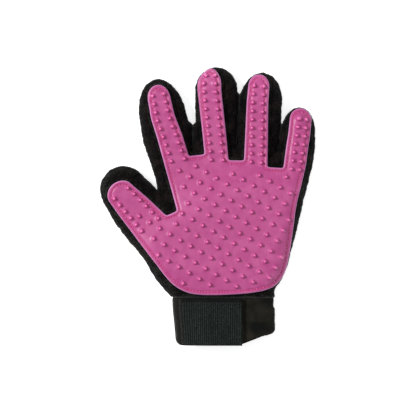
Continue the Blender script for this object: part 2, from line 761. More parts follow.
def knit_look(name, dark, light, pitch=1.15):
    """Jersey: rows of small V shapes."""
    look = Look(name, Sheen_Weight=0.01, Sheen_Roughness=0.4, Specular_IOR_Level=0.14)
    split = look.add("SeparateXYZ", {0: look.plan})
    zig = look.math("PINGPONG", split.outputs["X"], 0.5 * pitch)
    rows = look.math("ADD", look.math("MULTIPLY", split.outputs["Y"], 1.0),
                     look.math("MULTIPLY", zig, 1.1))
    loops = look.math("SINE", look.math("MULTIPLY", rows, 2.0 * math.pi / (0.8 * pitch)))
    wale = look.stripes((1.0, 0.0), 0.5 * pitch)
    height = look.math("ADD", look.math("MULTIPLY", loops, 0.6), look.math("MULTIPLY", wale, 0.4))
    mottle = look.noise(9.0, 4.0, 0.6)
    speck = look.noise(1.7, 2.0, 0.6)
    base = look.ramp(look.math("ADD", mottle, speck), dark, light, 0.9, 1.2)
    base = look.ramp(height, dark, base, -1.2, 0.5)
    rough = look.spread(look.noise(1.3, 2.0), 0.78, 0.95, 0.3, 0.7)
    return look.finish(base, rough, look.bump(height, 0.14, look.bump(mottle, 0.3)))


def mesh_look():
    """Spacer mesh: rows of small pores over a darker ground."""
    look = Look("air_mesh", Sheen_Weight=0.03, Sheen_Roughness=0.4, Specular_IOR_Level=0.3)
    pitch = 2.1
    waves = [look.stripes((math.cos(a), math.sin(a)), pitch, 1.57)
             for a in (0.0, math.pi / 3.0, 2.0 * math.pi / 3.0)]
    total = look.math("ADD", look.math("ADD", waves[0], waves[1]), waves[2])
    pore = look.spread(total, 1.0, 0.0, 0.4, 1.7)
    yarn = look.noise(0.5, 2.0)
    base = look.ramp(yarn, colour(24, 24, 25), colour(46, 45, 46), 0.3, 0.7)
    base = look.ramp(pore, colour(7, 7, 8), base)
    base = look.ramp(look.noise(14.0, 3.0), base, colour(22, 21, 22), 0.4, 0.9)
    height = look.math("ADD", pore, look.math("MULTIPLY", yarn, 0.25))
    return look.finish(base, look.spread(pore, 0.95, 0.72), look.bump(height, 0.55))


def elastic_look(name, dark, light):
    look = Look(name, Sheen_Weight=0.01, Sheen_Roughness=0.4, Specular_IOR_Level=0.2)
    picks = look.stripes((0.0, 1.0), 0.55)
    mottle = look.noise(1.3, 3.0, 0.6)
    base = look.ramp(mottle, dark, light, 0.36, 0.64)
    base = look.ramp(look.value("rib"), colour(3, 5, 5), base, 0.05, 0.9)
    height = look.math("ADD", look.math("MULTIPLY", picks, 0.6), look.noise(0.6, 2.0))
    return look.finish(base, look.spread(look.noise(2.0, 2.0), 0.62, 0.85, 0.3, 0.7),
                       look.bump(height, 0.09))


def loop_look():
    """Brushed loop pile with its knitted diagonal lines."""
    look = Look("loop_pile", Sheen_Weight=0.02, Sheen_Roughness=0.4, Specular_IOR_Level=0.18)
    twill = look.stripes((0.7071, 0.7071), TWILL_PITCH)
    fluff = look.noise(0.45, 4.0, 0.7)
    cloud = look.noise(17.0, 2.0, 0.5)
    base = look.ramp(cloud, colour(14, 18, 15), colour(54, 50, 41), 0.36, 0.64)
    base = look.ramp(fluff, colour(10, 10, 9), base, 0.25, 0.62)
    base = look.ramp(twill, base, colour(14, 16, 12), -0.6, 3.4)
    height = look.math("ADD", look.math("MULTIPLY", twill, 0.25), fluff)
    return look.finish(base, 0.95, look.bump(height, 0.35))


def plastic_look():
    look = Look("hook_nylon", IOR=1.53)
    base = look.ramp(look.noise(3.0, 2.0), colour(16, 16, 17), colour(30, 30, 31), 0.3, 0.7)
    return look.finish(base, look.spread(look.noise(1.0, 2.0), 0.3, 0.5),
                       look.bump(look.noise(0.4, 2.0), 0.03))


SILICONE = silicone_look()
PINK_THREAD = thread_look("pink_thread", colour(222, 60, 128), colour(250, 122, 178))
BLACK_THREAD = thread_look("black_thread", colour(12, 12, 12), colour(34, 33, 32))
KNIT = knit_look("black_knit", colour(0, 0, 0), colour(45, 45, 40))
GUSSET = knit_look("gusset_jersey", colour(1, 0, 0), colour(38, 27, 28), 0.9)
MESH = mesh_look()
ELASTIC = elastic_look("ribbed_elastic", colour(20, 29, 27), colour(58, 68, 65))
BINDING = elastic_look("binding_tape", colour(18, 18, 17), colour(42, 40, 35))
LOOP = loop_look()
HOOK = plastic_look()


# ---------------------------------------------------------------- joints

def attach(item, label):
    """Make a piece follow the hand, or bend with the joint that its part of a digit belongs to."""
    if label == 0:
        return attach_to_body(item, "hand")
    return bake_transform(item)


def part_name(label, lower="base"):
    if label == 0:
        return "hand"
    k, tip = divmod(label - 1, 2)
    return f"{ORDER[k]}_{'tip' if tip else lower}"


def cad_name(label):
    return part_name(label, "lower")


# ---------------------------------------------------------------- triangulation

def thinned(groups):
    """Points kept in order of priority, each group at least its own distance from all before it."""
    cell = 0.5
    seen = {}
    kept = []
    for points, gap in groups:
        reach = int(math.ceil(gap / cell))
        for x, y in points.tolist():
            i, j = int(x // cell), int(y // cell)
            near = False
            for a in range(i - reach, i + reach + 1):
                for b in range(j - reach, j + reach + 1):
                    for p, q in seen.get((a, b), ()):
                        if (x - p) ** 2 + (y - q) ** 2 < gap * gap:
                            near = True
            if not near:
                seen.setdefault((i, j), []).append((x, y))
                kept.append((x, y))
    return np.array(kept)


def with_crossings(line, closed, edge_of):
    """Polyline with a vertex added wherever a cut line meets it, and the cut lines' end points."""
    extra, ends = [], {}
    follow = np.roll(line, -1, axis=0) if closed else line[1:]
    here = line if closed else line[:-1]
    for k, name in enumerate(ORDER):
        digit = DIGITS[name]
        for v_cut in (BASE_ZONE[name][0], SPLIT):
            u1, v1 = digit_uv(digit, here)
            u2, v2 = digit_uv(digit, follow)
            cross = (v1 - v_cut) * (v2 - v_cut) <= 0.0
            cross &= v1 != v2
            for side in (-1, 1):
                want = float(edge_of(digit, max(v_cut, 0.0), side))
                spots = np.nonzero(cross & (np.abs(u1 - want) < 4.0))[0]
                best = spots[np.abs(u1[spots] - want).argmin()]
                t = (v_cut - v1[best]) / (v2[best] - v1[best])
                point = here[best] + (follow[best] - here[best]) * t
                extra.append((best, t, point))
                ends[(k, v_cut, side)] = point
    extra.sort(key=lambda item: (item[0], item[1]))
    places = [item[0] + 1 for item in extra]
    fixed = np.zeros(len(line), bool)
    result = np.insert(line, places, [item[2] for item in extra], axis=0)
    fixed = np.insert(fixed, places, True)
    return result, fixed, ends


def coarser(line, fixed, every):
    """Every n-th vertex and all fixed ones, without vertices crowding the fixed ones."""
    keep = np.zeros(len(line), bool)
    keep[::every] = True
    keep &= gap_to(line, line[fixed]) > FIXED_GAP
    keep |= fixed
    return line[keep]


def cut_chain(start, end, levels, fill):
    """Points across a digit, crowded towards both edges."""
    length = float(np.hypot(*(end - start)))
    places = [0.0, length]
    for level in levels:
        if level < 0.5 * length - 0.4:
            places += [level, length - level]
    inner = max([p for p in places if p <= 0.5 * length])
    span = length - 2.0 * inner
    count = max(int(round(span / fill)), 1)
    places += [inner + span * j / count for j in range(1, count)]
    places = np.array(sorted(set(round(p, 4) for p in places)))
    return start + (end - start) * (places / length)[:, None]


def chains_between(ends, levels, fill):
    keys = sorted({(k, v) for k, v, _side in ends})
    return [cut_chain(ends[(k, v, -1)], ends[(k, v, 1)], levels, fill) for k, v in keys]


def triangulated(loop, chains, free):
    points = [Vector(p) for p in loop.tolist()]
    edges = [(k, (k + 1) % len(points)) for k in range(len(points))]
    for chain in chains:
        first = len(points)
        points += [Vector(p) for p in chain.tolist()]
        edges += [(first + k, first + k + 1) for k in range(len(chain) - 1)]
    points += [Vector(p) for p in free.tolist()]
    result = delaunay_2d_cdt(points, edges, [], 1, 1e-5)
    plan = np.array([tuple(p) for p in result[0]])
    faces = np.array([tuple(f) for f in result[2]])
    corner = plan[faces]
    a, b = corner[:, 1] - corner[:, 0], corner[:, 2] - corner[:, 0]
    turned = a[:, 0] * b[:, 1] - a[:, 1] * b[:, 0] < 0.0
    faces[turned] = faces[turned][:, ::-1]
    return plan, faces


def vertex_normals(loop, closed):
    """Unit vectors pointing inward from a clockwise line."""
    if closed:
        run = np.roll(loop, -1, axis=0) - np.roll(loop, 1, axis=0)
    else:
        run = np.gradient(loop, axis=0)
    normal = np.column_stack((run[:, 1], -run[:, 0]))
    return normal / np.hypot(*normal.T)[:, None]


def free_points(loop, chains, groups):
    """Points of the groups, thinned in their order and kept off the loop and the chains."""
    fixed = np.concatenate((loop, *chains))
    return thinned([(fixed, 0.0)] + groups)[len(fixed):]


def hexagonal(step, low, high):
    found = []
    for j, y in enumerate(np.arange(low[1], high[1], step * 0.866)):
        x = np.arange(low[0], high[0], step) + (0.5 * step if j % 2 else 0.0)
        found.append(np.column_stack((x, np.full(len(x), y))))
    return np.concatenate(found)


# ---------------------------------------------------------------- fabric of the hand and digits

EDGE_LEVELS = (0.35, 0.9, 1.7, 2.8, 4.2, 6.0, 8.4, 11.2, 14.4)
SEAM_AT = 2.7
SEAM_LEVELS = (-0.5, -1.5, -2.2, -2.7, -3.2, -4.0)


def hand_plan():
    above = OUTLINE[:, 1] > WRIST_SEAM + 0.3
    first, last = np.nonzero(above)[0][[0, -1]]
    line = OUTLINE[first:last + 1]
    line, fixed, ends = with_crossings(line, False, fabric_edge)
    line = np.concatenate(([(line[0, 0], WRIST_SEAM)], line, [(line[-1, 0], WRIST_SEAM)]))
    fixed = np.concatenate(((True,), fixed, (True,)))
    outline = coarser(line, fixed, COARSE_EVERY)
    wrist = np.linspace(outline[-1], outline[0], WRIST_POINTS)[1:-1]
    loop = np.concatenate((outline, wrist))
    chains = chains_between(ends, EDGE_LEVELS, HAND_CHAIN)
    normal = vertex_normals(outline, False)
    groups = []
    for level in EDGE_LEVELS:
        spots = outline + normal * level
        depth = nearest(spots, outline)[0]
        spots = spots[(depth > 0.94 * level) & (spots[:, 1] > WRIST_SEAM + 0.4)]
        groups.append((spots, min(0.3 + 0.22 * level, 1.6)))
    seen = PAD_SEEN[::2]
    pad_normal = vertex_normals(seen, True)
    for level in SEAM_LEVELS:
        spots = seen + pad_normal * level
        depth, offset, index, _place = nearest(spots, COARSE)
        inner = ((offset * COARSE_NORMALS[index]).sum(1) > 0.0) & (depth > 0.7)
        away = nearest(spots, looped(seen))[0] > -0.94 * level
        spots = spots[inner & away & (spots[:, 1] > WRIST_SEAM + 0.5)]
        groups.append((spots, 0.42))
    grid = hexagonal(HAND_GRID, (-110.0, WRIST_SEAM + 1.5), (95.0, 125.0))
    grid = grid[inside(grid, outline)]
    groups.append((grid[nearest(grid, outline)[0] > 4.0], 1.5))
    free = free_points(loop, chains, groups)
    plan, faces = triangulated(loop, chains, free)
    rim = nearest(plan, outline)[0] < ON_RIM
    return plan, faces, rim, line


def notch_polygon(k):
    """Area between the pad strips of two neighbouring digits."""
    left, right = DIGITS[ORDER[k]], DIGITS[ORDER[k + 1]]
    corners = np.array(PAD_NOTCHES[k])
    low_left = float(digit_uv(left, corners[:1])[1][0]) - 2.0
    low_right = float(digit_uv(right, corners[1:])[1][0]) - 2.0
    bottom = corners.mean(0) - (0.0, 3.0)
    return np.array((on_digit(left, 0.0, 30.0), on_digit(left, 0.0, low_left), bottom,
                     on_digit(right, 0.0, low_right), on_digit(right, 0.0, 30.0)))


def crease(f, face):
    """Wrinkles and seam relief of the fabric, as millimetres outward."""
    x, y = f.points.T
    pucker = noise(f.along, x * 0.0, 2.4) * hump(f.depth, 1.8, 2.2) * 0.6
    pucker = pucker + noise(f.along, f.depth, 5.0, 2.0) * hump(f.depth, 4.0, 4.0) * 0.7
    total = pucker + 0.5 * noise(x, y, 10.0, 1.0) * smooth(f.depth, 1.0, 6.0)
    total = total + 0.22 * noise(x, y, 3.6, 6.0) * smooth(f.depth, 0.5, 3.0)
    for k, spot in enumerate(CROTCHES):
        dx, dy = x - spot[0], y - spot[1]
        reach = np.hypot(dx, dy)
        angle = np.arctan2(dy, dx) + 0.35 * noise(x, y, 6.0, 4.0)
        folds = 1.0 - np.abs(np.cos(3.5 * angle + 1.7 * k + 0.12 * reach)) * 1.7
        total = total + folds * hump(reach, 6.0, 5.0)
    if face > 0:
        away = -f.pad
        total = total * smooth(away, 0.8, 3.0)
        seam = SEAM_AT + 0.35 * noise(x, y, 5.0, 8.0)
        total = total - 0.7 * hump(away, seam, 0.45)
        total = total + 0.35 * (1.0 - smooth(away, 2.0, 2.6)) * smooth(away, 0.2, 0.9)
        total = np.where(away < 0.0, -0.1, total)
        return np.maximum(total, -1.0)
    for name in ORDER:
        digit = DIGITS[name]
        u, v = digit_uv(digit, f.points)
        on = (np.abs(u) < half_width(digit, np.clip(v, 0.0, digit.reach)) + 1.0) & (v > -12.0)
        wave = np.sin(2.0 * math.pi * (v + 0.8 * noise(u, v, 8.0)) / 4.6)
        for middle in (digit.knuckle, 0.0):
            total = total + np.where(on, 0.4 * wave * hump(v, middle, 6.0), 0.0)
    return total * smooth(f.depth, 0.0, 1.2) * smooth(y, WRIST_SEAM, WRIST_SEAM + 4.0)


def wobble(f):
    """Small uneven shift of the outline, fading inward."""
    amount = 0.3 * noise(f.along, f.along * 0.0, 4.0, 3.0) + 0.2 * noise(f.along, f.along * 0.0, 1.9)
    amount = amount * np.exp(-f.depth / 2.5)
    amount = amount * smooth(f.points[:, 1], WRIST_SEAM, WRIST_SEAM + 6.0)
    return f.inward * amount[:, None]


def build_fabric(plan, faces, rim):
    f = field(plan, PAD_SEEN[::2])
    shift = np.column_stack((wobble(f), np.zeros(len(plan))))
    front, back = ([surface(f, face, crease(f, face)) + shift,
                    surface(f, face, np.full(len(plan), -FABRIC)) + shift] for face in (1, -1))
    back[0][:, 2] = np.maximum(back[0][:, 2], 0.02)
    uv = unrolled(f)
    middle = plan[faces].mean(1)
    labels = part_of(middle)
    away = -f.pad[faces].mean(1)
    notch = np.full(len(faces), -1)
    for k in range(len(PAD_NOTCHES)):
        notch[inside(middle, notch_polygon(k))] = k
    webs = (away > SEAM_AT) & (notch >= 0)
    for label in range(LABELS):
        mine = labels == label
        name = "back_panel_mesh" if label == 0 else part_name(label) + "_back_mesh"
        item = slab_piece(name, faces[mine], back, rim, uv, [MESH], flip=True)
        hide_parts("back_panel" if label == 0 else cad_name(label) + "_back")
        attach(item, label)
        if label == 0:
            continue
        digit = ORDER[(label - 1) // 2]
        u = digit_uv(DIGITS[digit], middle[mine])[0]
        gusset = away[mine] > SEAM_AT
        gusset &= ((u > 0) & (digit != "little")) | ((u < 0) & (digit != "thumb"))
        item = slab_piece(part_name(label) + "_front_knit", faces[mine], front, rim, uv,
                          [KNIT, GUSSET], kinds=gusset)
        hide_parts(cad_name(label) + "_front")
        attach(item, label)
    hand = labels == 0
    for k in range(len(PAD_NOTCHES)):
        mine = hand & webs & (notch == k)
        pair = f"{ORDER[k]}_{ORDER[k + 1]}"
        item = slab_piece(pair + "_gusset", faces[mine], front, rim, uv, [GUSSET])
        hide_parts(pair + "_web")
        attach(item, 0)
    item = slab_piece("palm_knit", faces[hand & ~webs], front, rim, uv, [KNIT])
    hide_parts("palm_panel")
    attach(item, 0)


def build_side_seam(line):
    """Overlocked seam along the outline, joining the palm side to the back."""
    f = field(line)
    centre = surface(f, 1, np.zeros(len(line)))
    centre[:, 2] -= 0.3
    centre[:, :2] += wobble(f)
    along = lengths(line)
    radius = overlocked(along, *SIDE_SEAM_CORD) + 0.07 * noise(along, along, 2.2)
    side, up = frames(centre)
    labels = part_of(0.5 * (line[:-1] + line[1:]))
    breaks = np.nonzero(np.diff(labels))[0] + 1
    runs = {}
    for start, end in zip([0, *breaks], [*breaks, len(labels)]):
        span = slice(start, end + 1)
        tube = sweep(centre[span], side[span], up[span], radius[span], 8)
        runs.setdefault(int(labels[start]), []).append(tube)
    for label, tubes in sorted(runs.items()):
        attach(bundle(part_name(label) + "_side_seam", tubes, BLACK_THREAD), label)


# ---------------------------------------------------------------- pad

PAD_LEVELS = (0.14, 0.36, 0.7, 1.2, 1.8, 2.3, 2.75, 3.2, 3.7, 4.4, 5.4, 6.6)


def nub_centres():
    corners = []
    for name in ORDER:
        digit = DIGITS[name]
        corners += [on_digit(digit, pad_edge(digit, 0.0, -1), 0.0),
                    on_digit(digit, pad_edge(digit, 0.0, 1), 0.0)]
        if name != ORDER[-1]:
            corners += [np.array(c) for c in PAD_NOTCHES[ORDER.index(name)]]
    region = np.array(corners + [np.array(p) for p in PAD_RIGHT + PAD_HEEL])
    spots = []
    for name in ORDER:
        digit = DIGITS[name]
        for side, rows in ((-1, digit.nub_rows), (1, digit.nub_rows_right)):
            for k in range(-STUB_NUB_ROWS, rows):
                v = (k + 0.5) * NUB_ROW + NUB_ROW_SHIFT[name]
                t = min(max(v / digit.reach, -1.0), 1.0)
                spread = digit.nub_base + (digit.nub_tip - digit.nub_base) * t
                left, right = pad_edge(digit, v, -1), pad_edge(digit, v, 1)
                spread = min(spread, 0.5 * (right - left) - NUB_SIDE_MARGIN)
                middle = 0.5 * (left + right) + NUB_COLUMN_SHIFT[name]
                spots.append(on_digit(digit, middle + side * spread, v))
    closed = looped(region)
    run = (PALM_NUB_PITCH * math.cos(PALM_NUB_TURN), PALM_NUB_PITCH * math.sin(PALM_NUB_TURN))
    for i in NUB_LATTICE:
        for j in NUB_LATTICE:
            point = np.array((PALM_NUB_ORIGIN[0] + i * run[0] + j * run[1],
                              PALM_NUB_ORIGIN[1] + i * run[1] - j * run[0]))
            if not inside(point[None], region)[0]:
                continue
            if nearest(point[None], closed)[0][0] < NUB_EDGE_MARGIN:
                continue
            if all(np.hypot(*(point - s)) > NUB_SPACING_MIN for s in spots):
                spots.append(point)
    return seated(np.array(spots), PAD_TOP)


def pad_height(f):
    """Top of the pad above the fabric, without its nubs, and how deep in the stitched groove."""
    e = np.maximum(f.pad, 0.0)
    rounding = 0.85 * np.clip(1.0 - e / 0.7, 0.0, 1.0) ** 2
    groove = hump(e, GROOVE_AT, 0.62)
    crown = 0.16 * np.sin(math.pi * np.clip(e / 3.0, 0.0, 1.0))
    swell = 0.12 * noise(f.points[:, 0], f.points[:, 1], 16.0, 5.0) * smooth(e, 3.0, 8.0)
    return PAD_TOP - rounding - 0.85 * groove + crown + swell, groove


def build_pad():
    line, fixed, ends = with_crossings(PAD_LOOP, True, pad_edge)
    loop = coarser(line, fixed, 2)
    chains = chains_between(ends, PAD_LEVELS, PAD_CHAIN)
    nubs = nub_centres()
    normal = vertex_normals(loop, True)
    closed = looped(loop)
    groups = []
    for level in PAD_LEVELS:
        spots = loop + normal * level
        spots = spots[nearest(spots, closed)[0] > 0.95 * level]
        groups.append((spots, min(0.16 + 0.1 * level, 0.5)))
    grid = hexagonal(PAD_GRID, (-100.0, -76.0), (92.0, 122.0))
    grid = grid[inside(grid, loop)]
    groups.append((grid[nearest(grid, closed)[0] > 6.6], 1.2))
    free = free_points(loop, chains, groups)
    free = free[gap_to(free, nubs) > NUB_FOOT + 0.3]
    angle = np.arange(NUB_SIDES) * 2.0 * math.pi / NUB_SIDES
    rings = [nubs]
    for k, (radius, _height) in enumerate(NUB_PROFILE[1:]):
        turn = angle + (math.pi / NUB_SIDES if k % 2 else 0.0)
        ring = np.column_stack((np.cos(turn), np.sin(turn))) * radius
        rings.append((nubs[:, None] + ring[None]).reshape(-1, 2))
    rings = np.concatenate(rings)
    rings = rings[gap_to(rings, np.concatenate(chains)) > 0.2]
    plan, faces = triangulated(loop, chains, np.concatenate((free, rings)))
    f = field(plan)
    height, groove = pad_height(f)
    nub = np.interp(gap_to(plan, nubs), *zip(*NUB_PROFILE))
    top = surface(f, 1, height)
    top[:, 2] += nub
    low = surface(f, 1, np.full(len(plan), PAD_UNDER))
    rim = nearest(plan, closed)[0] < ON_RIM
    labels = part_of(plan[faces].mean(1))
    values = {"nub": nub / NUB_PROFILE[0][1], "groove": groove, "edge": hump(f.pad, 0.35, 0.35)}
    for label in range(LABELS):
        item = slab_piece(part_name(label) + "_silicone", faces[labels == label], (top, low), rim,
                          plan, [SILICONE], values=values)
        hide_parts("palm_pad" if label == 0 else cad_name(label) + "_pad")
        attach(item, label)


def build_pad_stitches():
    """Running stitches lying in the groove round the pad."""
    normal = vertex_normals(PAD_LOOP, True)
    path = PAD_LOOP + normal * GROOVE_AT
    closed = looped(PAD_LOOP)
    path = path[nearest(path, closed)[0] > 0.985 * GROOVE_AT]
    path = relaxed(resampled(looped(path), 0.4)[:-1], 3, True)
    along = lengths(path)
    count = int(along[-1] / PAD_STITCH_PITCH)
    pitch = along[-1] / count
    starts = np.arange(count) * pitch + 0.12 * noise(np.arange(count), np.zeros(count), 1.0)
    plan = []
    for shift in (0.0, PAD_STITCH_SHARE * pitch):
        spots = np.minimum(starts + shift, along[-1])
        plan.append(points_at(path, along, spots))
    ends = []
    for points in plan:
        f = field(points)
        ends.append(surface(f, 1, pad_height(f)[0] + 0.12))
    labels = part_of(0.5 * (plan[0] + plan[1]))
    for label in range(LABELS):
        rows = np.nonzero(labels == label)[0]
        made = [stitch(ends[0][k], ends[1][k], UP, PAD_STITCH_RADIUS, PAD_STITCH_BOW) for k in rows]
        attach(bundle(part_name(label) + "_pad_stitches", made, PINK_THREAD), label)


# ---------------------------------------------------------------- wrist

def mouth_y(x):
    slant = np.maximum(x - MOUTH_SLANT_START, 0.0) / (CUFF_RIGHT - MOUTH_SLANT_START)
    y = MOUTH + (MOUTH_RIGHT - MOUTH) * slant
    for distance, radius in ((x - CUFF_LEFT, 5.6), (CUFF_RIGHT - x, 3.6)):
        t = np.clip(1.0 - distance / radius, 0.0, 1.0)
        y = y + radius * (1.0 - np.sqrt(1.0 - t * t))
    return y


def lean(points):
    """The wrist narrows a little towards the opening on the thumb side, and steps out on the other."""
    x, y = points[:, :2].T
    left = 1.0 - smooth(x, CUFF_LEFT, 0.0)
    right = smooth(x, 40.0, CUFF_RIGHT)
    points = points.copy()
    points[:, 0] += left * (LEAN_LEFT + LEAN_LEFT_MORE * smooth(-y, *LEAN_LEFT_SPAN))
    points[:, 0] += right * (LEAN_RIGHT_STEP * (2.0 * smooth(-y, *LEAN_RIGHT_SPAN) - 1.0) + LEAN_RIGHT)
    return points


def crowded(start, end, count, power=0.5):
    """Stations from start to end, closer together at both ends."""
    t = 0.5 - 0.5 * np.cos(np.linspace(0.0, math.pi, count + 1))
    t = power * t + (1.0 - power) * np.linspace(0.0, 1.0, count + 1)
    return start + (end - start) * t


def wrist_sheet(name, xs, top, bottom, rows, face, low, high, material, values=None):
    """Closed sheet on the wrist between two lines, `low` and `high` above the fabric."""
    share = rows[:, None]
    upper, lower = (line(xs)[None] if callable(line) else line for line in (top, bottom))
    y = upper + (lower - upper) * share + np.zeros(len(xs))
    x = np.broadcast_to(xs[None], y.shape)
    f = field(np.column_stack((x.ravel(), y.ravel())))
    sheets = [lean(surface(f, face, o(f) if callable(o) else o)).reshape(*x.shape, 3)
              for o in (high, low)]
    vertices, faces = grid_slab(*sheets)
    made = {key: np.tile(value(f), 2) for key, value in (values or {}).items()}
    faces = faces[:, ::-1] if face > 0 else faces
    return new_piece(name, vertices, faces.tolist(), [material], np.tile(unrolled(f), (2, 1)), made)


def sheet_edge(f, left, right, top, bottom):
    """Distance from a sheet's nearest side."""
    x, y = f.points.T
    return np.minimum.reduce((x - left, right - x, top - y, y - bottom))


def tuck(f, left, right):
    """1 at the sewn sides of a sheet, where it is pressed down onto the sleeve, and 0 inside."""
    edge = sheet_edge(f, left, right, STRAP_TOP, mouth_y(f.points[:, 0]) + SHEET_MARGIN)
    return 1.0 - smooth(edge, 0.2, 2.6)


def tucked_low(left, right):
    """Underside of a sheet whose sewn sides are tucked into the sleeve."""
    return lambda f: SHEET_LOW - 1.5 * tuck(f, left, right)


def strap_low(f):
    """Underside of the strap, which rises over the loop panel and bows a little."""
    x, y = f.points.T
    bow = 0.35 * noise(x, y, 13.0, 7.0) * smooth(x, -18.0, -6.0)
    return SHEET_LOW + 3.2 * smooth(x, *STRAP_RAMP) + bow


def strap_ribs(f):
    x, y = f.points.T
    wander = 0.16 * noise(y, x * 0.0, 9.0, 4.0)
    wave = ribbed(x + wander, STRAP_RIB_PITCH)
    uneven = 0.75 + 0.25 * noise(x, y * 0.4, 1.8, 6.0)
    return wave * uneven * smooth(STRAP_TOP - y, 2.4, 3.6) * smooth(y - STRAP_BOTTOM, 0.3, 1.2)


def strap_top(f):
    edge = sheet_edge(f, -NO_EDGE, STRAP_END, STRAP_TOP, STRAP_BOTTOM)
    worn = 0.75 * np.clip(1.0 - edge / 0.8, 0.0, 1.0) ** 2
    return strap_low(f) + STRAP_THICK + 0.42 * strap_ribs(f) - worn


def build_strap():
    xs = np.arange(STRAP_ROOT - STRAP_STEP, STRAP_END + 0.01, STRAP_STEP)
    band = wrist_sheet("strap_elastic", xs, STRAP_TOP, STRAP_BOTTOM, crowded(0.0, 1.0, 34, 0.6), 1,
                       strap_low, strap_top, ELASTIC, {"rib": strap_ribs})
    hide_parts("strap_band")
    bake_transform(band)
    patch = wrist_sheet("hook_tape", crowded(*HOOK_SPAN, 24), STRAP_TOP - HOOK_MARGIN,
                        STRAP_BOTTOM + HOOK_MARGIN, crowded(0.0, 1.0, 30), 1, HOOK_TAPE_UNDER,
                        lambda f: strap_low(f) - 0.12, HOOK)
    left, right = HOOK_SPAN[0] + 0.8, HOOK_SPAN[1] - 0.8
    low, high = STRAP_BOTTOM + 4.0, STRAP_TOP - 4.0
    spots = np.array([(x, y) for x in np.arange(HOOK_SPAN[0] + 1.2, right, HOOK_SPACING[0])
                      for y in np.arange(STRAP_BOTTOM + 4.2, high, HOOK_SPACING[1])])
    bend = np.array(HOOK_BEND)
    run = np.gradient(bend, axis=0)
    run /= np.linalg.norm(run, axis=1)[:, None]
    side = np.tile((0.0, 1.0, 0.0), (len(bend), 1))
    hooks = [sweep(root + bend, side, np.cross(side, run), np.array(HOOK_RADII), 5)
             for root in lean(surface(field(spots), 1, HOOK_TAPE_UNDER + 0.1))]
    hook = bundle("hook_rows", hooks, HOOK)
    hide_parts("hook_patch")
    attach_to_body(patch, "strap")
    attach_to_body(hook, "strap")
    stitches = []
    for line in (((left, high), (right, high)), ((left, low), (right, low)),
                 ((left, low), (left, high)), ((right, low), (right, high))):
        stitches += run_of_stitches(line, strap_top, 2.4)
    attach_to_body(bundle("strap_box_stitches", stitches, BLACK_THREAD), "strap")


def run_of_stitches(corners, height, pitch, face=1, radius=0.22, fill=0.62):
    """Stitches along a plan line lying on a sheet of the wrist."""
    line = resampled(np.array(corners, float), 0.5)
    along = lengths(line)
    starts = np.arange(int(along[-1] / pitch)) * pitch
    ends = []
    for shift in (0.0, fill * pitch):
        f = field(points_at(line, along, starts + shift))
        top = height(f) if callable(height) else height
        ends.append(lean(surface(f, face, top + 0.4 * radius)))
    up = np.array((0.0, 0.0, float(face)))
    return [stitch(a, b, up, radius, 0.5 * radius) for a, b in zip(*ends)]


def anchor_top(f):
    """Overlocked strip on the thumb side of the strap's sewn end."""
    x, y = f.points.T
    ribs = ribbed(y + 0.2 * noise(y, x, 3.0), OVERLOCK_PITCH)
    strip = 1.0 - smooth(x, -24.6, -24.0)
    high = 1.75 + 0.26 * ribs * strip + 0.1 * noise(x, y, 3.0) - 0.5 * smooth(x, -24.4, -23.6)
    return high - 1.1 * tuck(f, CUFF_LEFT, NO_EDGE)


def anchor_rib(f):
    return ribbed(f.points[:, 1], OVERLOCK_PITCH)


def loop_top(f):
    x, y = f.points.T
    twill = ribbed((x + y) * 0.7071, TWILL_PITCH)
    pile = 0.16 * noise(x, y, 0.9, 8.0) + 0.14 * noise(x, y, 1.9, 9.0)
    edge = sheet_edge(f, LOOP_START, CUFF_RIGHT, STRAP_TOP, -NO_EDGE)
    edge = np.minimum(edge, y - mouth_y(x))
    worn = 0.7 * np.clip(1.0 - edge / 0.9, 0.0, 1.0) ** 2
    high = 1.85 + 0.1 * twill + pile - worn + 0.25 * noise(x, y, 12.0, 3.0) * smooth(x, 28.0, 34.0)
    return high - 0.9 * tuck(f, LOOP_START, CUFF_RIGHT)


def ragged_mouth(x):
    """Edge of the loop panel: the opening's line with its small scallops."""
    ragged = 0.35 * np.abs(np.sin(math.pi * x / 2.3)) + 0.25 * noise(x, x * 0.0, 3.2, 2.0)
    ragged = ragged + 1.5 * (1.0 - smooth(x, 34.0, 52.0))
    return mouth_y(x) + 0.3 + ragged * smooth(x, 26.5, 28.5) * (1.0 - smooth(x, 50.0, 54.0))


def sleeve_crease(f):
    x, y = f.points.T
    return -SLEEVE_SINK + 0.2 * noise(x, y * 0.4, 3.5, 1.0) + 0.2 * noise(x, y, 10.0, 2.0)


def hem_top(f):
    x, y = f.points.T
    return 1.1 + 0.18 * noise(x, y, 2.4) - 0.5 * np.clip(1.0 - (y - mouth_y(x)) / 1.2, 0, 1) ** 2


def back_ribs(f):
    x, y = f.points.T
    return ribbed(y + 0.3 * noise(x, y, 7.0, 2.0), SHIRRING_PITCH)


def back_elastic_top(f):
    x, y = f.points.T
    return 0.95 + 0.3 * back_ribs(f) + 0.22 * noise(x, y * 0.3, 2.2, 3.0)


